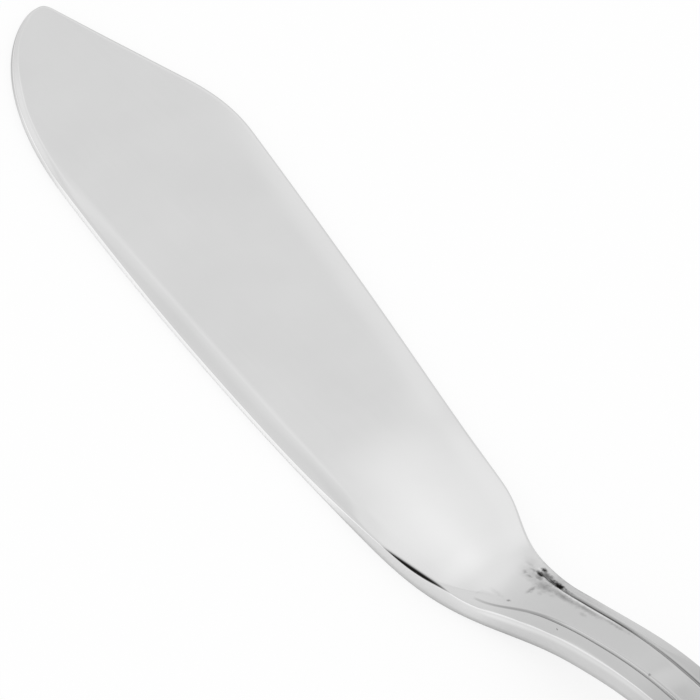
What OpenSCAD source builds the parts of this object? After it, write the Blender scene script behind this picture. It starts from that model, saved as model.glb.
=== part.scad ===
// Butter knife of polished stainless steel, lying flat with its face up.
// X runs along the handle: the blade points to -X and the handle ends at +X.
// The cutting edge faces -Y, the spine +Y, and Y = 0 is the handle's centre line.
// The origin is on the blade's flat underside, which lies at Z = 0.
// The knife is one piece of metal. Its blade, neck and handle are three solids here
// that share their end planes, and every outline and height runs on from one to the next.

/* [Blade] */
// From the point of the blade to the plane where the neck starts
blade_length = 86; // [70:1:110]
// From the origin under the blade to the plane where the neck starts
rest_to_neck = 32; // [24:1:40]
// How far the point stands off the centre line, on the spine's side
point_offset = 6.75; // [3:0.05:11]
// Width of the blunt flat at the very point
point_flat = 0.3; // [0.2:0.1:1]
// How far above the point the clipped corner would start if the point weren't rounded
point_corner = 1; // [0.5:0.1:1.5]
// Length of the rounding at the point
point_round = 3; // [1.5:0.5:5]
// Length of the rounded nose that leads from the point to the cutting edge
nose_length = 21; // [12:0.5:26]
// From the point to the shoulder, where the clipped corner meets the spine
shoulder_reach = 21.55; // [16:0.05:30]
// How far the shoulder stands off the centre line, before it is rounded
shoulder_offset = 14.85; // [11:0.05:18]
// Length of the rounding at the shoulder
shoulder_round = 8.95; // [3:0.05:14]
// How far the spine bows out between the shoulder and the heel
spine_bow = 0.39; // [0:0.01:0.8]
// How far the spine stands off the centre line where the heel starts
heel_offset = 6.05; // [4:0.05:8]
// How far the cutting edge lies off the centre line at its deepest
belly_depth = 7.5; // [5:0.1:10]
// From the neck's plane forward to the deepest place of the cutting edge
belly_to_neck = 19; // [12:1:30]
// How far the cutting edge rises on its way to the nose
edge_rise = 5.3; // [2:0.1:8]

/* [Blade section] */
// Thickness of the blade near its point
tip_thickness = 1.15; // [0.95:0.05:1.6]
// From the neck's plane forward to where the blade starts to thicken
wedge_lead = 27.2; // [20:0.1:36]
// Length over which it thickens, into the neck
wedge_length = 39.8; // [32:0.1:48]
// Width of the ground bevel round the nose
nose_bevel = 0.75; // [0.5:0.05:1.2]
// Width of the ground bevel at its widest, along the cutting edge
bevel_width = 2.45; // [1.3:0.05:3.5]
// How much thinner the bevel leaves the edge round the nose
nose_drop = 0.5; // [0.2:0.02:0.6]
// How much thinner the bevel leaves the cutting edge
bevel_drop = 0.38; // [0.2:0.02:0.6]
// Length over which the bevel runs out towards the heel
bevel_fade = 17.5; // [10:0.5:30]
// Width of the eased top edge along the spine
spine_ease = 3; // [1:0.1:4]
// How far that eased edge falls
spine_drop = 0.05; // [0.02:0.01:0.15]
// Small flat that breaks every sharp corner
arris = 0.15; // [0.08:0.01:0.2]

/* [Neck] */
// From the blade to the plane where the handle starts
neck_length = 26; // [18:1:36]
// Width of the neck at its narrowest
neck_width = 6.05; // [4.6:0.05:8]
// Thickness at the middle of the neck
neck_thickness = 3.15; // [2.6:0.05:4]
// From the neck's plane forward to the heel, where the spine's bow ends
heel_lead = 8.5; // [6:0.5:14]
// From the neck's plane forward to where the spine's side starts to draw in
spine_lead = 10.4; // [8:0.1:14]
// Length over which the spine's side draws in to the neck
spine_run_in = 14.7; // [11:0.1:18]
// From the neck's plane forward to where the cutting edge's side starts to draw in
edge_lead = 15.9; // [12:0.1:20]
// Length over which the cutting edge's side draws in to the neck
edge_run_in = 29.8; // [24:0.1:36]
// How far the spine's side is waisted at the start of the neck
waist = 0.22; // [0:0.02:0.5]
// From the neck's plane back to where that waist has run out
waist_end = 9; // [5:0.5:14]
// From the neck's plane forward to where the flat across the heel's corner starts
corner_lead = 9.9; // [7:0.1:12]
// Length of that flat
corner_length = 8.3; // [5:0.1:10]
// How steeply it falls
corner_slope = 0.9; // [0.3:0.05:1.2]

/* [Handle] */
// From the neck to the handle's end
handle_length = 62; // [48:1:80]
// Width of the handle at its widest
handle_width = 15; // [10:0.5:20]
// Length of the rounded end
end_length = 11; // [7:0.5:16]
// From the neck's first plane to where the handle starts to widen
taper_start = 26; // [14:1:34]
// Thickness at the handle's end
end_thickness = 2.7; // [2.4:0.05:3.5]
// Width of the raised rim that follows the outline
rim_width = 1.45; // [1:0.05:1.9]
// How far the rim on the cutting edge's side rounds down to its outer edge
edge_rim_drop = 0.95; // [0.3:0.05:1.2]
// How far the rim on the spine's side does
spine_rim_drop = 0.55; // [0.2:0.05:1]
// Depth of the line between the rim and the panel
line_depth = 0.25; // [0.1:0.05:0.4]
// Half the width of that line
line_half = 0.2; // [0.1:0.02:0.3]
// How far the panel is crowned
panel_crown = 0.08; // [0:0.02:0.2]
// Length over which the rim and its line start, at the neck
rim_start = 7; // [4:0.5:12]
// From the neck's plane forward to where the rounding on the cutting edge's side starts
roll_lead = 4.5; // [2:0.5:7]
// Length over which it starts
roll_start = 6; // [4:0.5:9]

/* [Arch] */
// Height of the arch, from the table to the handle's underside
arch_height = 8.4; // [4:0.1:14]
// From the neck's plane forward to where the underside leaves the table
arch_lead = 5.9; // [3:0.1:9]
// Length of the climb from there to the top of the arch
arch_climb = 36; // [26:0.5:46]

/* [Hidden] */
steel = [0.83, 0.83, 0.83];

// Planes and places along the knife
neck_x = rest_to_neck;
point_x = neck_x - blade_length;
handle_x = neck_x + neck_length;
end_x = handle_x + handle_length;
shoulder_x = point_x + shoulder_reach;
belly_x = neck_x - belly_to_neck;
heel_x = neck_x - heel_lead;
widest_x = end_x - end_length;
arch_x = neck_x - arch_lead;
arch_top_x = arch_x + arch_climb;
taper_x = neck_x + taper_start;
wedge_x = neck_x - wedge_lead;
wedge_end_x = wedge_x + wedge_length;
// The nose's ribs all run to one centre, half a nose behind the point
nose_x = point_x + nose_length / 2;
// The nose starts at the point and ends in the bowed line of the cutting edge
nose_rise = point_offset + belly_depth - edge_rise;
// Slopes of the clipped corner and of the spine, and the depth of the blend between them
clip_slope = (shoulder_offset - point_offset - point_corner) / shoulder_reach;
spine_slope = (heel_offset - shoulder_offset) / (heel_x - shoulder_x);
shoulder_blend = (clip_slope - spine_slope) * shoulder_round / 2;

// Shapes of the curves: how full the nose is, how late the edge's side draws in, how far back the bevel is
// widest, how hollow it is ground, how tightly the rims curl, what share of the wedge starts at the point,
// and what share of a crown is reached halfway across
nose_fullness = 0.78;
edge_lateness = 1.64;
bevel_lateness = 1.5;
bevel_hollow = 0.58;
rim_curl = 2.6;
early_wedge = 0.1;
half_crown = 0.75;

// Numbers of ribs along each stretch
blade_steps = 34;
nose_steps = 9;
neck_steps = 18;
handle_steps = 20;
end_steps = 9;

// Ways to run smoothly from one value to another
function held(u) = max(0, min(1, u));
function eased(a, b, x) = let (u = held((x - a) / (b - a))) pow(u, 3) * (10 - 15 * u + 6 * u * u);
function mixed(a, b, w) = a + (b - a) * w;
function soft_min(a, b, k) = let (h = held(0.5 + (b - a) / (2 * k))) mixed(b, a, h) - k * h * (1 - h);

// Outline of the blade: a bowed cutting edge that turns up into the nose, and a clip and spine
function bow_y(x) = edge_rise * pow((x - belly_x) / (belly_x - point_x), 2) - belly_depth;
function nose_y(x) = let (u = sqrt(held((x - point_x) / nose_length)))
    nose_rise * pow(1 - u, 2) * (1 + nose_fullness * u);
function clip_y(x) = let (u = sqrt(held((x - point_x) / point_round)))
    point_offset + point_corner + clip_slope * (x - point_x) - (point_corner - point_flat) * pow(1 - u, 2);
function back_y(x) = let (u = (x - shoulder_x) / (heel_x - shoulder_x))
    mixed(shoulder_offset, heel_offset, u) + spine_bow * 4 * u * (1 - u);

// Outline of the whole knife, on the cutting edge's side and on the spine's side
function half_width(x) = mixed(neck_width, handle_width, eased(taper_x, widest_x, x)) / 2;
function waisted(x) = half_width(x) - waist * (1 - eased(neck_x, neck_x + waist_end, x));
function edge_y(x) = mixed(bow_y(x) + nose_y(x), -half_width(x),
    pow(eased(neck_x - edge_lead, neck_x - edge_lead + edge_run_in, x), edge_lateness));
function spine_y(x) = mixed(soft_min(clip_y(x), back_y(x), shoulder_blend), waisted(x),
    eased(neck_x - spine_lead, neck_x - spine_lead + spine_run_in, x));
function middle_y(x) = (edge_y(x) + spine_y(x)) / 2;

// Height of the underside, and thickness above it
function lift(x) = arch_height * eased(x < arch_top_x ? arch_x : end_x, arch_top_x, x);
function thickness(x) = x < handle_x
    ? mixed(tip_thickness, neck_thickness,
        mixed(eased(wedge_x, wedge_end_x, x), eased(point_x, wedge_end_x, x), early_wedge))
    : mixed(neck_thickness, end_thickness, held((x - handle_x) / handle_length));

// Border of the face: the ground bevel or eased spine on the blade, the rim on the handle
function rim_share(x) = eased(neck_x, neck_x + rim_start, x);
function bevel(x) = let (u = pow(held((x - nose_x) / (heel_x - nose_x)), bevel_lateness))
    mixed(nose_bevel, bevel_width, 4 * u * (1 - u));
function border(x, on_edge) = mixed(on_edge ? bevel(x) : spine_ease, rim_width, rim_share(x));

// How far the face has fallen at a distance from the outline: along the hollow bevel or the eased spine,
// and along the rounded rim
function ground(x) = mixed(nose_drop, bevel_drop, eased(shoulder_x, belly_x, x))
    * (1 - eased(heel_x - bevel_fade, heel_x, x));
function bevel_fall(x, d) = let (u = max(0, 1 - d / bevel(x))) ground(x) * mixed(u, u * u, bevel_hollow);
function spine_fall(x, d) = spine_drop * (1 - eased(heel_x, neck_x, x)) * pow(max(0, 1 - d / spine_ease), 2);
function rim_drop(x, on_edge) = on_edge
    ? edge_rim_drop * eased(neck_x - roll_lead, neck_x - roll_lead + roll_start, x)
    : spine_rim_drop * rim_share(x);
function fallen(x, d, on_edge) = (on_edge ? bevel_fall(x, d) : spine_fall(x, d))
    + rim_drop(x, on_edge) * pow(max(0, 1 - d / rim_width), rim_curl);

// Flat ground across the corner where the cutting edge turns in to the neck
corner_x = neck_x - corner_lead;
corner_start = [corner_x, edge_y(corner_x)];
corner_run = [corner_length, edge_y(corner_x + corner_length) - corner_start.y];
corner_out = [corner_run.y, -corner_run.x] / norm(corner_run);
function corner_fall(p) = p.x < neck_x ? corner_slope * max(0, (p - corner_start) * corner_out) : 0;

// One rib: a half section from the middle of the underside, round the side, to the middle of the face.
// It runs in plan from a point of the outline to a point of the middle line.
function rib(outer, inner, on_edge) =
    let (
        run = norm(inner - outer),
        wide = border(outer.x, on_edge),
        line = line_depth * rim_share(outer.x),
        crown = panel_crown * rim_share(inner.x),
        // Place on the rib at a distance from the outline, and the face's height over it
        at = function (d) inner + (outer - inner) * (1 - d / run),
        low = function (d, up) let (p = at(d)) [p.x, p.y, lift(p.x) + up],
        top = function (d, down) let (p = at(d))
            [p.x, p.y, lift(p.x) + thickness(p.x) - fallen(outer.x, d, on_edge) - corner_fall(p) - down],
        rim_inside = wide - line_half,
        half_panel = (wide + line_half + run) / 2
    )
    [
        low(run, 0),
        low(arris, 0),
        low(0, arris),
        top(0, arris),
        top(arris, 0),
        top(mixed(arris, rim_inside, 0.25), 0),
        top(mixed(arris, rim_inside, 0.6), 0),
        top(rim_inside, 0),
        top(wide, line),
        top(wide + line_half, 0),
        top(half_panel, -crown * half_crown),
        top(run, -crown)
    ];

// Ribs along one side between two places, in the order of the places
function side_ribs(from, to, steps, on_edge) = [
    for (i = [0:steps])
        let (x = mixed(from, to, i / steps))
        rib([x, on_edge ? edge_y(x) : spine_y(x)], [x, middle_y(x)], on_edge)
];

// Ribs round the nose, which all run to its centre: down the clip to the point, then round the nose
nose_centre = [nose_x, middle_y(nose_x)];
function clip_ribs() = [
    for (i = [1:nose_steps])
        let (x = mixed(nose_x, point_x, i / nose_steps))
        rib([x, spine_y(x)], nose_centre, false)
];
function nose_ribs() = [
    for (i = [0:nose_steps - 1])
        let (x = mixed(point_x, nose_x, pow(i / nose_steps, 2)))
        rib([x, edge_y(x)], nose_centre, true)
];

// Ribs round the handle's end, a half ellipse about the middle of its widest place
end_centre = [widest_x, middle_y(widest_x)];
function end_ribs() = [
    for (i = [1:2 * end_steps - 1])
        let (turn = 90 * (i / end_steps - 1))
        rib([widest_x + end_length * cos(turn), handle_width / 2 * sin(turn)], end_centre, turn < 0)
];

// Triangles between the ribs of one run, leaving out those that close to nothing at a centre
function strip_faces(points, first, last, size) = [
    for (j = [first:last - 1], k = [0:size - 2])
        let (a = j * size + k, b = a + size)
        each [
            if (norm(points[a + 1] - points[b + 1]) > 0) [a, a + 1, b + 1],
            if (norm(points[a] - points[b]) > 0) [a, b + 1, b]
        ]
];

// Flat face between the ribs of the two sides that lie in one plane
function plane_face(before, after, size) = concat(
    [for (k = [0:size - 1]) before * size + k],
    [for (k = [size - 2:-1:1]) after * size + k]
);

// Solid from one run of ribs that starts and ends in one plane
module closed_run(ribs) {
    size = len(ribs[0]);
    last = len(ribs) - 1;
    points = [for (one = ribs) each one];
    faces = concat(strip_faces(points, 0, last, size), [plane_face(last, 0, size)]);
    polyhedron(points, faces, convexity = 6);
}

// Solid from two runs of ribs, one on each side, that both lie between two planes
module open_run(edge_ribs, spine_ribs) {
    size = len(edge_ribs[0]);
    half = len(edge_ribs);
    last = 2 * half - 1;
    points = [for (one = concat(edge_ribs, spine_ribs)) each one];
    faces = concat(
        strip_faces(points, 0, half - 1, size),
        strip_faces(points, half, last, size),
        [plane_face(half - 1, half, size)],
        [plane_face(last, 0, size)]
    );
    polyhedron(points, faces, convexity = 6);
}

// Blade: flat below, ground to a bevel along its cutting edge, thickening to the heel
module blade() {
    color(steel) closed_run(concat(
        side_ribs(neck_x, nose_x, blade_steps, false),
        clip_ribs(),
        nose_ribs(),
        side_ribs(nose_x, neck_x, blade_steps, true)
    ));
}

// Neck: climbs from the heel to the arch, where the handle's rims and lines start
module neck() {
    color(steel) open_run(
        side_ribs(neck_x, handle_x, neck_steps, true),
        side_ribs(handle_x, neck_x, neck_steps, false)
    );
}

// Handle: a panel between two rims that widens to a rounded end, back on the table
module handle() {
    color(steel) closed_run(concat(
        side_ribs(handle_x, widest_x, handle_steps, true),
        end_ribs(),
        side_ribs(widest_x, handle_x, handle_steps, false)
    ));
}

blade();
neck();
handle();
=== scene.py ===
import math

import bmesh
import bpy
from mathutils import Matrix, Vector


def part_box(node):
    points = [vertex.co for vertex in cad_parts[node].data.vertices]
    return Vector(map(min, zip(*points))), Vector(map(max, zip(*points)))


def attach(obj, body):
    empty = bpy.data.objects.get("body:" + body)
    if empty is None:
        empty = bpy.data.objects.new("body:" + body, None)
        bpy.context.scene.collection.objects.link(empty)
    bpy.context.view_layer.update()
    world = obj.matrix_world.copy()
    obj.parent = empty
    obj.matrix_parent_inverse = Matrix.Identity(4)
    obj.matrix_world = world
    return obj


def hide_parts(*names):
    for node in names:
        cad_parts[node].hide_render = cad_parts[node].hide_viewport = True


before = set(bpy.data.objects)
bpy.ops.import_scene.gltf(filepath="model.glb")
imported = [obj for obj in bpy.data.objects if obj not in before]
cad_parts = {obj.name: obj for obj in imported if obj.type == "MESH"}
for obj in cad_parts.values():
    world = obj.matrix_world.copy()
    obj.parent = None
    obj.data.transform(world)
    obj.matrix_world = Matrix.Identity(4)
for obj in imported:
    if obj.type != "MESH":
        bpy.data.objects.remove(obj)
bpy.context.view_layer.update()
scene = bpy.context.scene

# Camera. A long lens looks down on the blade from the side of its cutting edge, and the handle runs out
# of the picture. X is along the handle, the blade points to -X and its cutting edge faces -Y.
mm = 0.001
view_turn = math.radians(53)
view_height = math.radians(50)
view_distance = 600 * mm
view_aim = Vector((-0.3, 5.5, 0)) * mm
sensor_width = 36
lens_length = 324
nearest_seen = 50 * mm
to_camera = Vector((
    math.sin(view_turn) * math.cos(view_height),
    -math.cos(view_turn) * math.cos(view_height),
    math.sin(view_height),
))
camera = bpy.data.objects.new("camera", bpy.data.cameras.new("camera"))
camera.data.sensor_width = sensor_width
camera.data.lens = lens_length
camera.data.clip_start = nearest_seen
camera.location = view_aim + to_camera * view_distance
camera.rotation_mode = "QUATERNION"
camera.rotation_quaternion = (-to_camera).to_track_quat("-Z", "Y")
scene.collection.objects.link(camera)
scene.camera = camera

# Blade. It is the broad end of one stamped blank of stainless steel, with a clipped corner and a rounded
# nose, ground to a bevel along the cutting edge and polished bright. It runs on into the neck without a
# joint, so the outline, thickness and section that both share are made here. Sizes are in millimetres.
point_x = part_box("blade")[0].x / mm
neck_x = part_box("blade")[1].x / mm
handle_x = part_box("handle")[0].x / mm
end_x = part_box("handle")[1].x / mm

# Outline in plan: the bowed edge, the nose, the clipped corner, the back, and where they run in to the neck.
belly_depth = -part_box("blade")[0].y / mm
belly_x = neck_x - 19
edge_rise = 5.3
point_offset = 6.75
point_flat = 0.3
point_corner = 1
point_round = 1
nose_length = 21
nose_fullness = 0.78
nose_x = point_x + nose_length / 2
shoulder_x = point_x + 21.55
shoulder_offset = 14.85
shoulder_round = 8.95
spine_bow = 0.39
heel_offset = 6.05
heel_x = neck_x - 8.5
neck_width = 6.05
edge_run_in = (neck_x - 15.9, neck_x + 13.9)
edge_lateness = 1.64
spine_run_in = (neck_x - 10.4, neck_x + 4.3)
waist = 0.22
waist_end = (neck_x + 1, neck_x + 9)


def held(share):
    return max(0.0, min(1.0, share))


def eased(start, end, x):
    """Share from 0 at the start to 1 at the end, without a jump in slope or curvature."""
    share = held((x - start) / (end - start))
    return share**3 * (10 - 15 * share + 6 * share**2)


def mixed(one, other, share):
    return one + (other - one) * share


def blade_edge(x):
    """Cutting edge: a shallow bow that turns up into the nose."""
    bow = edge_rise * ((x - belly_x) / (belly_x - point_x)) ** 2 - belly_depth
    turn = math.sqrt(held((x - point_x) / nose_length))
    nose_rise = point_offset + belly_depth - edge_rise
    return bow + nose_rise * (1 - turn) ** 2 * (1 + nose_fullness * turn)


def blade_spine(x):
    """Spine: the clipped corner from the point, then a straight back, with a blend at the shoulder."""
    turn = math.sqrt(held((x - point_x) / point_round))
    clip_start = point_offset + point_corner
    clip_slope = (shoulder_offset - clip_start) / (shoulder_x - point_x)
    clip = clip_start + clip_slope * (x - point_x) - (point_corner - point_flat) * (1 - turn) ** 2
    back_slope = (heel_offset - shoulder_offset) / (heel_x - shoulder_x)
    along = (x - shoulder_x) / (heel_x - shoulder_x)
    back = mixed(shoulder_offset, heel_offset, along) + spine_bow * 4 * along * (1 - along)
    blend = (clip_slope - back_slope) * shoulder_round / 2
    share = held(0.5 + (back - clip) / (2 * blend))
    return mixed(back, clip, share) - blend * share * (1 - share)


def outline_y(x, on_edge):
    """Outline in plan on the side of the cutting edge or of the spine, from the point to the handle."""
    if on_edge:
        return mixed(blade_edge(x), -neck_width / 2, eased(*edge_run_in, x) ** edge_lateness)
    narrow = neck_width / 2 - waist * (1 - eased(*waist_end, x))
    return mixed(blade_spine(x), narrow, eased(*spine_run_in, x))


def middle_y(x):
    return (outline_y(x, True) + outline_y(x, False)) / 2


# Thickness of the blank, which is rolled to a wedge along the blade, and the arch that it is bent to.
tip_thickness = 1.15
neck_thickness = 3.15
end_thickness = 2.7
wedge = (neck_x - 27.2, neck_x + 12.6)
early_wedge = 0.1
arch_height = 8.4
arch_climb = (neck_x - 5.9, neck_x + 30.1)


def lift(x):
    """Height of the underside: the table under the blade and under the handle's end, an arch between."""
    arch_start, arch_top = arch_climb
    return arch_height * (eased(arch_start, arch_top, x) if x < arch_top else eased(end_x, arch_top, x))


def thickness(x):
    """Thickness of the blank: thin at the point, full at the neck, a little less at the handle's end."""
    share = mixed(eased(*wedge, x), eased(point_x, wedge[1], x), early_wedge)
    end_share = held((x - handle_x) / (end_x - handle_x))
    return mixed(tip_thickness, neck_thickness, share) - mixed(0, neck_thickness - end_thickness, end_share)


# Forms that are ground and polished into the face along its outline: a narrow strip round the nose, the bevel
# of the cutting edge, the eased spine, and the start of the rims that go on along the neck.
nose_bevel = 0.75
nose_fall = 0.22
nose_curl = 1.2
nose_strip_end = (point_x + 14, point_x + 25)
point_fade = 3.5
low_bevel = 1.25
low_bevel_start = (point_x + 8, point_x + 17)
bevel_width = 1.92
bevel_lateness = 1.32
bevel_fall = 0.38
bevel_hollow = 0.5
bevel_soft = 0.16
bevel_start = (point_x + 8, point_x + 48)
bevel_end = (heel_x - 17.5, heel_x)
spine_ease = 3
spine_fall = 0.075
spine_start = (point_x + 5, point_x + 50)
spine_end = (heel_x - 5, neck_x)
rim_width = 1.45
rim_fall = 1.2
rim_curl = 1.2
edge_rim_start = (neck_x - 4.5, neck_x + 1.5)
edge_rim_tip = 0.3
edge_rim_growth = (neck_x - 5, neck_x + 3)
spine_rim_fall = 0.65
spine_rim_start = (neck_x, neck_x + 7)
spine_rim_growth = 0.36
spine_growth_run = (neck_x + 10, handle_x)


def bevel(x):
    """Width of the ground bevel: narrow round the nose, widest at mid blade, narrow again at the heel."""
    share = held((x - nose_x) / (heel_x - nose_x)) ** bevel_lateness
    low = mixed(nose_bevel, low_bevel, eased(*low_bevel_start, x))
    return mixed(low, bevel_width, 4 * share * (1 - share))


def rim_reach(x, on_edge):
    """Width of the rim, which widens a little along the neck on the side of the spine."""
    return rim_width if on_edge else rim_width + spine_rim_growth * eased(*spine_growth_run, x)


def falls(x, on_edge):
    """How far the face falls towards the outline, from how far in, and with what power of the way."""
    if not on_edge:
        spine = spine_fall * eased(*spine_start, x) * (1 - eased(*spine_end, x))
        rim = spine_rim_fall * eased(*spine_rim_start, x)
        return [(spine, spine_ease, 2), (rim, rim_reach(x, on_edge), rim_curl)]
    ground = bevel_fall * eased(*bevel_start, x) * (1 - eased(*bevel_end, x))
    below_point = point_offset - outline_y(x, True)
    nose = nose_fall * (1 - eased(*nose_strip_end, x)) * eased(0, point_fade, below_point)
    rim = rim_fall * eased(*edge_rim_start, x)
    rim_so_far = mixed(edge_rim_tip, rim_width, eased(*edge_rim_growth, x))
    return [
        (ground * (1 - bevel_hollow), bevel(x), 1),
        (ground * bevel_hollow, bevel(x), 2),
        (nose, nose_bevel, nose_curl),
        (rim, rim_so_far, rim_curl),
    ]


# A small flat is ground across the corner of the heel, where the edge turns in to the neck.
corner_cut = (neck_x - 10.3, neck_x - 1.2)
corner_slope = 0.9
corner_soft = 0.1
corner_fade = (neck_x - 1.5, neck_x + 2)
corner_start, corner_end = (Vector((x, outline_y(x, True))) for x in corner_cut)
corner_along = (corner_end - corner_start).normalized()
corner_outward = Vector((corner_along.y, -corner_along.x))


def ramp(value, soft):
    """The value where it is above 0, and 0 below, with a soft bend between them."""
    if abs(value) < soft:
        return (value + soft) ** 2 / (4 * soft)
    return max(0.0, value)


def heel_corner(place):
    """Depth of the flat across the heel's corner."""
    outside = (place - corner_start).dot(corner_outward)
    return corner_slope * ramp(outside, corner_soft) * (1 - eased(*corner_fade, place.x))


# The side: a little bulged by the shears, leaning in under the rim, and rounded to the face and underside.
side_arris = 0.28
nose_arris = 0.17
heel_arris = 0.11
heel_arris_start = (neck_x - 18, neck_x - 10)
heel_arris_end = (neck_x - 8, neck_x - 3)
low_arris = 0.15
side_bulge = 0.06
edge_lean = 0.3
edge_lean_start = (neck_x - 4, neck_x + 5)
lean_start = 0.3


def blade_arris(x):
    """Radius of the polished edge between face and side, rounder at the nose and sharper at the heel."""
    nose = nose_arris * (1 - eased(*nose_strip_end, x))
    heel = heel_arris * eased(*heel_arris_start, x) * (1 - eased(*heel_arris_end, x))
    return side_arris + nose - heel


def side_lean(x, on_edge):
    """How far the side leans in under the face, where the rim is rounded down to it."""
    return edge_lean * eased(*edge_lean_start, x) if on_edge else 0.0


# The half section: where its points lie on the underside and the side, and how many steps its forms take.
# A struck line has a raised lip on its inner side, painted lighter as a highlight, and the painted highlight
# on the nose's strip fades inwards.
under_shares = (1, 0.6, 0.25)
low_arris_turns = (90, 60, 30, 0)
side_shares = (0.15, 0.3, 0.4, 0.5, 0.6, 0.7, 0.8, 0.9)
arris_steps = 9
rim_steps = 9
line_steps = 8
lip_steps = 6
face_steps = 8
lip_half = 0.11
lip_height = 0.05
strip_fade = (0.7 * nose_bevel, 1.4 * nose_bevel)


def spread(start, end, count):
    return [mixed(start, end, step / count) for step in range(1, count + 1)]


def rib(outer, inner, arris, slopes, line_place, line_half=0.2, line_depth=0.0, line_residue=0.0,
        crown=0.0, lean=0.0, lip=0.0, painted_highlight=0.0):
    """Half section of the knife, from the middle of the underside round the side to the middle of the face.

    It runs in plan from a point of the outline to a point of the middle line, all in millimetres. Each point
    also holds its shares of polishing residue and of painted highlight.
    """
    outer = Vector(outer)
    inner = Vector(inner)
    run = (inner - outer).length
    inward = (inner - outer) / run
    line_end = line_place + line_half
    lip_end = line_end + 2 * lip_half

    def in_line(depth):
        return max(0.0, 1 - ((depth - line_place) / line_half) ** 2)

    def in_lip(depth):
        return max(0.0, 1 - ((depth - line_end - lip_half) / lip_half) ** 2)

    def rough_height(depth):
        place = outer + inward * depth
        height = lift(place.x) + thickness(place.x) + crown * (1 - (1 - depth / run) ** 2)
        for fall, width, power in slopes:
            height -= fall * ramp(1 - depth / width, bevel_soft) ** power
        height -= heel_corner(place)
        height += lip * lip_height * in_lip(depth) ** 2
        return height - line_depth * in_line(depth) ** 2

    lean_lift = lift((outer + inward * lean).x)
    side_height = rough_height(lean) - lean_lift - low_arris
    side_tilt = math.atan((2 * lean / (1 - lean_start) + 4 * side_bulge) / side_height)
    arris_depth = lean + arris * math.cos(side_tilt)

    def face_height(depth):
        short = max(0.0, arris_depth - depth)
        return rough_height(depth) - arris + math.sqrt(max(0.0, arris**2 - short**2))

    def below(depth, height):
        place = outer + inward * depth
        return (place.x, place.y, lift(place.x) + height, 0.0, 0.0)

    points = [below(run * share, 0) for share in under_shares]
    for turn in low_arris_turns:
        curl = math.radians(turn)
        points.append(below(low_arris * (1 - math.cos(curl)), low_arris * (1 - math.sin(curl))))
    side_top = face_height(lean) - lean_lift
    for share in side_shares:
        leaning = lean * held((share - lean_start) / (1 - lean_start)) ** 2
        bulging = side_bulge * 4 * share * (1 - share)
        points.append(below(leaning - bulging, mixed(low_arris, side_top, share)))
    turns = [side_tilt] + spread(side_tilt, math.radians(90), arris_steps)
    depths = [arris_depth - arris * math.cos(turn) for turn in turns]
    depths += spread(arris_depth, line_place - line_half, rim_steps)
    depths += spread(line_place - line_half, line_end, line_steps)
    depths += spread(line_end, lip_end, lip_steps)
    depths += spread(lip_end, run, face_steps)
    for depth in depths:
        place = outer + inward * depth
        residue = line_residue * in_line(depth) if line_depth else 0.0
        # Painted highlight: the nose's strip and the lips are made lighter.
        bright = painted_highlight * (1 - eased(*strip_fade, depth)) + lip * in_lip(depth)
        points.append((place.x, place.y, face_height(depth), residue, bright))
    return points


# The blade's ribs. The places for a struck line only guide the mesh here, until the lines start on the neck.
heel_crown = 0.18
crown_start = (neck_x - 32, neck_x - 12)
bevel_clear = 0.1
rim_settling = (heel_x, neck_x + 3)
painted_highlight_start = (4, 9.5)


def blade_rib(outer, inner, on_edge):
    """Half section of the blade, with its bevel or eased spine."""
    x = outer[0]
    place = bevel(x) + bevel_clear if on_edge else mixed(spine_ease, rim_width, eased(nose_x, heel_x, x))
    place = mixed(place, rim_width, eased(*rim_settling, x))
    painted_highlight = 0.0
    if on_edge:
        painted_highlight = eased(*painted_highlight_start, point_offset - outer[1]) * (1 - eased(*nose_strip_end, x))
    crown = heel_crown * eased(*crown_start, x)
    return rib(outer, inner, blade_arris(x), falls(x, on_edge), place, crown=crown,
               lean=side_lean(x, on_edge), painted_highlight=painted_highlight)


def side_places(start, end, step):
    count = round(abs(end - start) / step)
    return [mixed(start, end, index / count) for index in range(count + 1)]


def forged(name, runs, ends):
    """One zone of the blank over its ribs. Each run has a spare rib beyond each end, so that the polish
    carries on over the plane where two zones meet; the spare ribs then go, and the ends are closed."""
    form = bmesh.new()
    residue = form.verts.layers.float.new("residue")
    painted_highlight = form.verts.layers.float.new("painted_highlight")
    polish = form.verts.layers.float_vector.new("polish")
    corners = {}

    def corner(point):
        key = tuple(round(value, 4) for value in point[:3])
        if key not in corners:
            corners[key] = form.verts.new([value * mm for value in point[:3]])
            corners[key][residue] = point[3]
            corners[key][painted_highlight] = point[4]
        return corners[key]

    for run in runs:
        for one, other in zip(run, run[1:]):
            for index in range(len(one) - 1):
                ring = [corner(p) for p in (one[index], other[index], other[index + 1], one[index + 1])]
                ring = list(dict.fromkeys(ring))
                if len(ring) > 2:
                    form.faces.new(ring)
    form.normal_update()
    for vert in form.verts:
        vert[polish] = vert.normal
    low, high = (place * mm for place in ends)
    margin = 0.01 * mm
    spare = [vert for vert in form.verts if not low - margin < vert.co.x < high + margin]
    bmesh.ops.delete(form, geom=spare, context="VERTS")
    rims = [edge for edge in form.edges if edge.is_boundary]
    caps = bmesh.ops.holes_fill(form, edges=rims, sides=0)["faces"]
    form.normal_update()
    normals = []
    for face in form.faces:
        face.smooth = face not in caps
        for loop in face.loops:
            normals.append(Vector(loop.vert[polish]) if face.smooth else face.normal.copy())
    mesh = bpy.data.meshes.new(name)
    form.to_mesh(mesh)
    form.free()
    mesh.normals_split_custom_set(normals)
    piece = bpy.data.objects.new(name, mesh)
    scene.collection.objects.link(piece)
    return piece


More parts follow.
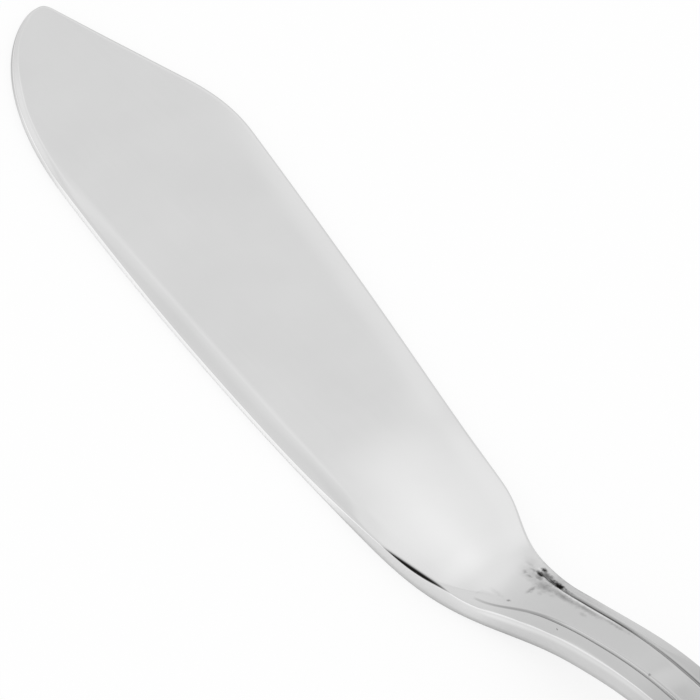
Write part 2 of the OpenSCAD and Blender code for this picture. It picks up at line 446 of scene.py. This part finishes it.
blade_step = 0.5
spine_nose_ribs = 50
edge_nose_ribs = 60
blade_clear = 5
blade_sides = side_places(neck_x + blade_step, nose_x, blade_step)
nose_centre = (nose_x, middle_y(nose_x))
edge_nose = [mixed(point_x, nose_x, (index / edge_nose_ribs) ** 2) for index in range(edge_nose_ribs)]
spine_nose = [mixed(point_x, nose_x, (index / spine_nose_ribs) ** 2) for index in range(spine_nose_ribs)]
blade_run = [blade_rib((x, outline_y(x, False)), (x, middle_y(x)), False) for x in blade_sides]
blade_run += [blade_rib((x, outline_y(x, False)), nose_centre, False) for x in reversed(spine_nose)]
blade_run += [blade_rib((x, outline_y(x, True)), nose_centre, True) for x in edge_nose]
blade_run += [blade_rib((x, outline_y(x, True)), (x, middle_y(x)), True) for x in reversed(blade_sides)]
blade = forged("blade_steel", [blade_run], (point_x - blade_clear, neck_x))


def linear(hex_colour):
    """sRGB hex colour as linear red, green, blue and alpha."""
    shares = [int(hex_colour[place:place + 2], 16) / 255 for place in (1, 3, 5)]
    return [s / 12.92 if s <= 0.04045 else ((s + 0.055) / 1.055) ** 2.4 for s in shares] + [1.0]


def node(tree, kind, settings=None, **links):
    """Adds a node to a tree. Settings are its own values; links go to sockets, by name or number."""
    made = tree.nodes.new(kind)
    for key, value in (settings or {}).items():
        setattr(made, key, value)
    for key, value in links.items():
        key = key.replace("_", " ")
        socket = made.inputs[int(key[2:])] if key.startswith("n ") else made.inputs[key]
        if isinstance(value, bpy.types.NodeSocket):
            tree.links.new(value, socket)
        else:
            socket.default_value = value
    return made


# Settings that many of the nodes share.
smooth = {"interpolation_type": "SMOOTHSTEP"}
colours = {"data_type": "RGBA"}
add = {"operation": "ADD"}
subtract = {"operation": "SUBTRACT"}
multiply = {"operation": "MULTIPLY"}
divide = {"operation": "DIVIDE"}
scaled = {"operation": "SCALE"}
larger = {"operation": "MAXIMUM"}
dot = {"operation": "DOT_PRODUCT"}

# Stainless steel, rolled, then polished on a soft wheel along the blade. It mirrors the white tent softly;
# the wheel leaves fine lines along X and a faint cloudiness, and a painted highlight makes the nose's strip
# and the lips beside the struck lines lighter.
# Wheel lines are about 0.02 mm apart and are drawn ten times as coarse, to show.
blade_grey = linear("#D4D4D4")
# The handle's darker grey is painted shade on the same steel.
handle_shaded_grey = linear("#B5B5B5")
painted_highlight_grey = linear("#E1E1E1")
residue_and_shade_grey = linear("#1A1918")
wheel_line = 0.2 * mm
wheel_line_length = 14 * mm
wheel_line_share = 0.3
cloud_size = 9 * mm
wear_least = 0.4
wear_most = 0.9
shade_range = (0.98, 1.02)
gloss_range = (0.08, 0.11)

# Painted shade along X: the steel is painted darker all over on the neck and the handle, on the sides at the
# heel and the handle, and on the side of the nose. Each step gives where it starts and ends, and how much it
# adds.
shade_steps_along_x = ((neck_x, neck_x + 5, 0.41), (neck_x + 19, neck_x + 25, 0.42))
side_steps = ((neck_x - 20, neck_x - 14, 0.19), (neck_x, neck_x + 6, 0.03))
nose_steps = ((point_x + 23, point_x + 16, 0.3), (point_x + 13, point_x + 4, 0.16))
steel = bpy.data.materials.new("polished stainless steel")
steel.use_nodes = True
tree = steel.node_tree
tree.nodes.clear()
where = node(tree, "ShaderNodeTexCoord").outputs["Object"]
along = node(tree, "ShaderNodeSeparateXYZ", Vector=where).outputs["X"]
growths = []
for steps in (shade_steps_along_x, side_steps, nose_steps):
    growth = 0.0
    for first, last, share in steps:
        step = node(tree, "ShaderNodeMapRange", smooth, Value=along, From_Min=first * mm, From_Max=last * mm,
                    To_Min=0.0, To_Max=share).outputs["Result"]
        growth = node(tree, "ShaderNodeMath", add, n_0=growth, n_1=step).outputs[0]
    growths.append(growth)
handle_painted_shade, side_painted_shade, nose_painted_shade = growths
stretched = node(tree, "ShaderNodeVectorMath", divide, n_0=where,
                 n_1=(wheel_line_length, wheel_line, wheel_line)).outputs[0]
lines = node(tree, "ShaderNodeTexNoise", Vector=stretched, Scale=1.0, Detail=2.0).outputs["Fac"]
cloud = node(tree, "ShaderNodeTexNoise", Vector=where, Scale=1 / cloud_size, Detail=3.0).outputs["Fac"]
wear = node(tree, "ShaderNodeMath", {"operation": "MULTIPLY_ADD"}, n_0=lines, n_1=wheel_line_share,
            n_2=cloud).outputs[0]
shade = node(tree, "ShaderNodeMapRange", Value=wear, From_Min=wear_least, From_Max=wear_most,
             To_Min=shade_range[0], To_Max=shade_range[1]).outputs["Result"]
gloss = node(tree, "ShaderNodeMapRange", Value=wear, From_Min=wear_least, From_Max=wear_most,
             To_Min=gloss_range[0], To_Max=gloss_range[1]).outputs["Result"]
bare = node(tree, "ShaderNodeMix", colours, n_0=handle_painted_shade, n_6=blade_grey, n_7=handle_shaded_grey).outputs[2]
painted_highlight_share = node(tree, "ShaderNodeAttribute", {"attribute_name": "painted_highlight"}).outputs["Fac"]
bare = node(tree, "ShaderNodeMix", colours, n_0=painted_highlight_share, n_6=bare, n_7=painted_highlight_grey).outputs[2]
tone = node(tree, "ShaderNodeVectorMath", scaled, n_0=bare, Scale=shade).outputs[0]
grime_and_painted_shade = node(tree, "ShaderNodeAttribute", {"attribute_name": "residue"}).outputs["Fac"]

# Black polishing residue that the wheel left where the spine's line starts, smudges and a few specks, and
# painted
# shade: a crescent where the panel starts, soft films below the spine's line and one on the rim above it.
# Each gives place along X and Y, half length, half width, share of the steel that it hides, and how far out,
# in half widths, it is full, where less than 0 is a film that is nowhere full. Grain frays their rims.
stain_and_shade_grain = 0.5 * mm
stain_and_shade_drift = 0.6 * mm
stain_and_shade_fray = 1.5
stain_and_shade_rim = 1.4
grain = node(tree, "ShaderNodeTexNoise", Vector=where, Scale=1 / stain_and_shade_grain, Detail=5.0,
             Roughness=0.7).outputs
drift = node(tree, "ShaderNodeVectorMath", subtract, n_0=grain["Color"], n_1=(0.5, 0.5, 0.5)).outputs[0]
drift = node(tree, "ShaderNodeVectorMath", scaled, n_0=drift, Scale=stain_and_shade_drift).outputs[0]
ragged = node(tree, "ShaderNodeVectorMath", add, n_0=where, n_1=drift).outputs[0]
fray = node(tree, "ShaderNodeMapRange", Value=grain["Fac"], To_Min=-stain_and_shade_fray / 2,
            To_Max=stain_and_shade_fray / 2).outputs["Result"]
for x, y, length, width, share, core in (
    (34.1, 1.5, 0.65, 0.3, 1.0, 0.3),
    (33.95, 2.1, 0.45, 0.24, 0.95, 0.3),
    (34.7, 1.75, 0.9, 0.42, 0.75, 0.1),
    (35.7, 1.6, 0.9, 0.34, 0.85, 0.2),
    (36.6, 1.65, 0.95, 0.38, 1.0, 0.3),
    (38.0, 1.55, 1.6, 0.25, 0.75, 0.0),
    (40.2, 1.5, 2.8, 0.16, 0.45, 0.0),
    (33.8, 0.9, 1.6, 0.9, 0.28, -0.4),
    (33.2, 1.3, 0.6, 0.28, 0.45, -0.2),
    (32.9, 0.65, 0.45, 0.28, 0.4, -0.2),
    (33.7, 0.55, 0.6, 0.26, 0.5, -0.2),
    (34.4, 1.05, 0.8, 0.3, 0.55, -0.1),
    (32.5, 1.6, 0.8, 0.25, 0.2, 0.0),
    # Painted shade: the crescent where the panel starts, the films below the spine's line, and the film on
    # the rim.
    (35.25, -0.4, 0.28, 0.8, 0.48, -0.3),
    (35.8, 0.6, 1.6, 0.7, 0.58, -0.5),
    (38.2, 0.82, 2.8, 0.38, 0.58, -0.5),
    (41.2, 0.95, 3.0, 0.28, 0.5, -0.5),
    (45.2, 1.05, 3.0, 0.22, 0.35, -0.5),
    (40.0, 2.2, 4.5, 0.7, 0.2, -0.5),
    (36.8, 2.85, 4.0, 0.3, 0.5, -0.4),
    (36.2, -0.3, 0.35, 0.3, 0.15, 0.0),
    (34.9, -2.9, 0.2, 0.14, 0.5, 0.3),
    (33.4, -3.0, 1.1, 0.22, 0.12, -0.4),
    (41.3, -2.3, 0.13, 0.09, 0.5, 0.3),
    (41.7, 0.26, 0.5, 0.18, 0.2, 0.0),
    (32.3, 1.9, 1.0, 0.6, 0.12, -0.4),
    (53.2, -1.4, 0.18, 0.13, 0.5, 0.3),
):
    apart = node(tree, "ShaderNodeVectorMath", subtract, n_0=ragged, n_1=(x * mm, y * mm, 0)).outputs[0]
    apart = node(tree, "ShaderNodeVectorMath", divide, n_0=apart, n_1=(length * mm, width * mm, 1)).outputs[0]
    apart = node(tree, "ShaderNodeVectorMath", {"operation": "LENGTH"}, n_0=apart).outputs["Value"]
    apart = node(tree, "ShaderNodeMath", add, n_0=apart, n_1=fray).outputs[0]
    stain_and_shade = node(tree, "ShaderNodeMapRange", smooth, Value=apart, From_Min=stain_and_shade_rim, From_Max=core,
                 To_Min=0.0, To_Max=share).outputs["Result"]
    grime_and_painted_shade = node(tree, "ShaderNodeMath", larger, n_0=grime_and_painted_shade, n_1=stain_and_shade).outputs[0]

# How steeply a surface faces up tells the flat across the heel's corner, the sides, the nose's side with its
# rounded edge, and what faces the table: where each starts and is full, and its share.
corner_facing = (0.35, 0.5, 1.0)
side_facing = (0.5, 0.3, 1.0)
nose_facing = (0.75, 0.52, 1.0)
table_facing = (0.02, -0.2, 0.3)
facing = node(tree, "ShaderNodeNewGeometry").outputs["Normal"]
facing = node(tree, "ShaderNodeSeparateXYZ", Vector=facing).outputs["Z"]
zones = []
for first, full, share in (corner_facing, side_facing, nose_facing, table_facing):
    zone = node(tree, "ShaderNodeMapRange", smooth, Value=facing, From_Min=first, From_Max=full, To_Min=0.0,
                To_Max=share)
    zones.append(zone.outputs["Result"])
upper, side, nose_side, underside_painted_shade = zones

# Painted reflection: the flat across the heel's corner is painted dark, up to its edge with the polished
# side, as a dark reflection.
corner_reflection_end = (neck_x + 1, neck_x)
corner_reflection_blur = 0.1
corner_line = corner_start.dot(corner_outward)
before = node(tree, "ShaderNodeMapRange", smooth, Value=along, From_Min=corner_reflection_end[0] * mm,
              From_Max=corner_reflection_end[1] * mm).outputs["Result"]
across = node(tree, "ShaderNodeVectorMath", dot, n_0=where,
              n_1=(corner_outward.x, corner_outward.y, 0)).outputs["Value"]
corner_painted_reflection = node(tree, "ShaderNodeMapRange", smooth, Value=across, From_Min=(corner_line - corner_reflection_blur) * mm,
             From_Max=(corner_line + corner_reflection_blur) * mm).outputs["Result"]
for limit in (upper, before):
    corner_painted_reflection = node(tree, "ShaderNodeMath", multiply, n_0=corner_painted_reflection, n_1=limit).outputs[0]
grime_and_painted_shade = node(tree, "ShaderNodeMath", larger, n_0=grime_and_painted_shade, n_1=corner_painted_reflection).outputs[0]

# Painted shade: the sides are painted darker than the face, and what faces the table darker again, as the
# shade of the table that they mirror.
side_painted_shade = node(tree, "ShaderNodeMath", multiply, n_0=side_painted_shade, n_1=side).outputs[0]
nose_painted_shade = node(tree, "ShaderNodeMath", multiply, n_0=nose_painted_shade, n_1=nose_side).outputs[0]
for more in (nose_painted_shade, underside_painted_shade):
    side_painted_shade = node(tree, "ShaderNodeMath", add, n_0=side_painted_shade, n_1=more).outputs[0]
grime_and_painted_shade = node(tree, "ShaderNodeMath", larger, n_0=grime_and_painted_shade, n_1=side_painted_shade).outputs[0]
# Residue, and painted shade and painted dark reflection, all darken the steel towards one grey.
stained_and_shaded = node(tree, "ShaderNodeMix", colours, n_0=grime_and_painted_shade, n_6=tone, n_7=residue_and_shade_grey).outputs[2]
shader = node(tree, "ShaderNodeBsdfPrincipled", Metallic=1.0, Roughness=gloss, Base_Color=stained_and_shaded)
node(tree, "ShaderNodeOutputMaterial", Surface=shader.outputs["BSDF"])
blade.data.materials.append(steel)
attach(blade, "root")
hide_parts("blade")

# Neck. The same steel, drawn in to a narrow shank that climbs to the top of the handle's arch. Two lines
# are struck into its face and leave a raised rim along each side.
neck_step = 0.4
neck_arris = 0.14
neck_arris_start = (neck_x + 3, neck_x + 10)
panel_crown = 0.1
panel_start = (neck_x, neck_x + 7)

# The struck lines: depth, half width, and where they run.
struck_depth = 0.25
struck_half = 0.22
struck_start_half = 0.11
struck_widening = (neck_x, neck_x + 10)
edge_line_start = (neck_x + 0.3, neck_x + 12)
spine_line_start = (neck_x + 1, neck_x + 3.5)
edge_line_place = 0.75
spine_line_place = 1.1
line_settling = (neck_x - 0.5, neck_x + 8)

# The lip that the striking raised, most of all beside the first length of the spine's line.
low_lip = 0.1
spine_lip = 1.0
spine_lip_start = (neck_x + 2.5, neck_x + 6.5)
spine_lip_end = (neck_x + 10, neck_x + 17)

# Polishing residue in the lines, thick in part of the spine's line and cleaner towards the handle.
edge_line_residue = 0.42
edge_residue_start = (neck_x - 3, neck_x + 4)
spine_line_residue = 0.5
thick_residue = 0.38
thick_start = (neck_x + 4, neck_x + 9)
thick_end = (neck_x + 13, neck_x + 18)
clean_share = 0.6
clean_start = (neck_x + 14, handle_x + 2)


def neck_rib(x, on_edge):
    """Half section of the neck, with its struck line."""
    if on_edge:
        line_depth = struck_depth * eased(*edge_line_start, x)
        line_half = mixed(struck_start_half, struck_half, eased(*struck_widening, x))
        line_place = edge_line_place
        lip = low_lip * eased(*edge_line_start, x)
        residue = edge_line_residue * eased(*edge_residue_start, x)
    else:
        line_depth = struck_depth * eased(*spine_line_start, x)
        line_half = struck_half
        line_place = spine_line_place
        lip = low_lip * eased(*spine_line_start, x)
        lip += (spine_lip - low_lip) * eased(*spine_lip_start, x) * (1 - eased(*spine_lip_end, x))
        residue = spine_line_residue * eased(*spine_line_start, x)
        residue += thick_residue * eased(*thick_start, x) * (1 - eased(*thick_end, x))
    residue *= mixed(1, clean_share, eased(*clean_start, x))
    line_place = mixed(line_place, rim_reach(x, on_edge), eased(*line_settling, x))
    arris = mixed(blade_arris(x), neck_arris, eased(*neck_arris_start, x))
    crown = mixed(heel_crown, panel_crown, eased(*panel_start, x))
    return rib((x, outline_y(x, on_edge)), (x, middle_y(x)), arris, falls(x, on_edge), line_place, line_half,
               line_depth, residue, crown, side_lean(x, on_edge), lip)


neck_sides = side_places(neck_x - neck_step, handle_x + neck_step, neck_step)
neck = forged("neck_steel", [
    [neck_rib(x, True) for x in neck_sides],
    [neck_rib(x, False) for x in reversed(neck_sides)],
], (neck_x, handle_x))
neck.data.materials.append(steel)
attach(neck, "root")
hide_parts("neck")

# Handle. The same steel again, a panel between the two rims that widens to a rounded end. The rims and the
# lines meet round the end, which lies on the table.
handle_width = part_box("handle")[1].y * 2 / mm
handle_step = 0.75
handle_clear = 5
end_length = 11
end_turn_step = 3
widest_x = end_x - end_length
end_centre = (widest_x, 0)


def half_width(x):
    return mixed(neck_width, handle_width, eased(handle_x, widest_x, x)) / 2


def handle_rib(outer, inner):
    """Half section of the handle, whose rim and line change from edge to spine round its end."""
    residue = clean_share * (edge_line_residue if outer[1] < 0 else spine_line_residue)
    to_spine = eased(-handle_width / 2, handle_width / 2, outer[1])
    if outer[0] < widest_x:
        to_spine = 0 if outer[1] < 0 else 1
    rim = mixed(rim_fall, spine_rim_fall, to_spine)
    reach = rim_width + spine_rim_growth * to_spine
    return rib(outer, inner, neck_arris, [(rim, reach, rim_curl)], reach, struck_half, struck_depth, residue,
               panel_crown, mixed(edge_lean, 0, to_spine), low_lip)


handle_sides = side_places(handle_x - handle_step, widest_x, handle_step)
end_turns = [math.radians(turn) for turn in range(end_turn_step - 90, 90, end_turn_step)]
handle_run = [handle_rib((x, -half_width(x)), (x, 0)) for x in handle_sides]
handle_run += [
    handle_rib((widest_x + end_length * math.cos(turn), handle_width / 2 * math.sin(turn)), end_centre)
    for turn in end_turns
]
handle_run += [handle_rib((x, half_width(x)), (x, 0)) for x in reversed(handle_sides)]
handle = forged("handle_steel", [handle_run], (handle_x, end_x + handle_clear))
handle.data.materials.append(steel)
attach(handle, "root")
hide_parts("handle")

# Table and tent. The knife lies on plain white paper inside a white photographer's tent, whose walls light it
# softly from all sides. The picture sees both as white, and the paper keeps a faint shadow.
table_size = 6
table_gap = 0.02 * mm
table_white = 0.85
bpy.ops.mesh.primitive_plane_add(size=table_size, location=(0, 0, -table_gap))
table = bpy.context.object
table.name = "table"

# Matt paper, with a painted glow that only the steel's reflections see: it is brighter before the cutting
# edge than behind it.
front_glow = 0.42
front_start = 5 * mm
paper = bpy.data.materials.new("white paper")
paper.use_nodes = True
tree = paper.node_tree
tree.nodes.clear()
path = node(tree, "ShaderNodeLightPath").outputs
spot = node(tree, "ShaderNodeNewGeometry").outputs["Position"]
spot = node(tree, "ShaderNodeSeparateXYZ", Vector=spot).outputs["Y"]
front = node(tree, "ShaderNodeMapRange", smooth, Value=spot, From_Min=front_start, From_Max=-front_start,
             To_Min=0.0, To_Max=front_glow).outputs["Result"]
glow = node(tree, "ShaderNodeMath", multiply, n_0=path["Is Glossy Ray"], n_1=front).outputs[0]
seen = node(tree, "ShaderNodeMath", multiply, n_0=path["Is Camera Ray"], n_1=table_white).outputs[0]
matt = node(tree, "ShaderNodeBsdfDiffuse", Color=linear("#FAFAFA")).outputs[0]
bright = node(tree, "ShaderNodeEmission", Color=linear("#FFFFFF"), Strength=glow).outputs[0]
lit = node(tree, "ShaderNodeAddShader", n_0=matt, n_1=bright).outputs[0]
white = node(tree, "ShaderNodeEmission", Color=linear("#FFFFFF")).outputs[0]
mix = node(tree, "ShaderNodeMixShader", n_0=seen, n_1=lit, n_2=white)
node(tree, "ShaderNodeOutputMaterial", Surface=mix.outputs[0])
table.data.materials.append(paper)

# The tent's wall, a little darker low down, with pale panels and grey seams in it. Each gives the degrees
# round and up from the knife, the degrees within which it is full and beyond which it is gone, and how much
# brighter or darker than the wall it is.
wall_low = 0.95
wall_high = 1.0
wall_rise = (0.1, 0.5)
wall_least = 0.01
tent = bpy.data.worlds.new("tent")
scene.world = tent
tent.use_nodes = True
tree = tent.node_tree
tree.nodes.clear()
path = node(tree, "ShaderNodeLightPath").outputs
toward = node(tree, "ShaderNodeTexCoord").outputs["Generated"]
height = node(tree, "ShaderNodeSeparateXYZ", Vector=toward).outputs["Z"]
wall = node(tree, "ShaderNodeMapRange", smooth, Value=height, From_Min=wall_rise[0], From_Max=wall_rise[1],
            To_Min=wall_low, To_Max=wall_high).outputs["Result"]
for round_turn, up_turn, full, gone, change in (
    (151.5, 53.7, 1, 6.5, 0.065),
    (161, 58, 2, 9.5, 0.062),
    (181, 59, 3, 10, -0.025),
    (172, 50, 2, 8, -0.05),
    (151.8, 36.5, 2, 7, 0.13),
    (158.5, 46.3, 1.5, 6, 0.1),
    (136, 42, 4, 9, 0.08),
    (138.5, 47, 1, 4, 0.05),
    (141.5, 39, 1.5, 5.5, 0.13),
    (216, -2, 6, 12, 0.55),
    (233, 0, 5, 11, 0.5),
    (250, 0, 5, 11, 0.5),
    (143, 2, 6, 16, -0.1),
):
    round_turn, up_turn, full, gone = (math.radians(turn) for turn in (round_turn, up_turn, full, gone))
    middle = (
        math.cos(round_turn) * math.cos(up_turn),
        math.sin(round_turn) * math.cos(up_turn),
        math.sin(up_turn),
    )
    near = node(tree, "ShaderNodeVectorMath", dot, n_0=toward, n_1=middle).outputs["Value"]
    panel = node(tree, "ShaderNodeMapRange", smooth, Value=near, From_Min=math.cos(gone),
                 From_Max=math.cos(full), To_Min=0.0, To_Max=change).outputs["Result"]
    wall = node(tree, "ShaderNodeMath", add, n_0=wall, n_1=panel).outputs[0]
wall = node(tree, "ShaderNodeMath", larger, n_0=wall, n_1=wall_least).outputs[0]
shown = node(tree, "ShaderNodeMix", {"data_type": "FLOAT"}, n_0=path["Is Camera Ray"], n_2=wall, n_3=1.0)
sky = node(tree, "ShaderNodeBackground", Color=linear("#FFFFFF"), Strength=shown.outputs[0])
node(tree, "ShaderNodeOutputWorld", Surface=sky.outputs[0])

# Softbox. A small round lamp behind white cloth, with a grid that keeps its light in a narrow cone, hangs
# where the heel of the blade mirrors it to the camera.
heel = Vector((21.8, -1, 2.3)) * mm
heel_normal = Vector((-0.091, -0.014, 1)).normalized()
softbox_distance = 100 * mm
softbox_size = 36 * mm
softbox_level = 0.375
softbox_grid = math.radians(5)
softbox_area = math.pi / 4 * softbox_size**2
grid_share = 1 - softbox_grid / math.tan(softbox_grid)
from_heel = (camera.location - heel).normalized()
mirrored = 2 * heel_normal.dot(from_heel) * heel_normal - from_heel
softbox = bpy.data.objects.new("softbox", bpy.data.lights.new("softbox", "AREA"))
softbox.data.shape = "DISK"
softbox.data.size = softbox_size
softbox.data.spread = 2 * softbox_grid
softbox.data.energy = softbox_level * math.pi * softbox_area * grid_share
softbox.location = heel + mirrored * softbox_distance
softbox.rotation_mode = "QUATERNION"
softbox.rotation_quaternion = (-mirrored).to_track_quat("-Z", "Y")
scene.collection.objects.link(softbox)

scene.view_settings.view_transform = "Standard"
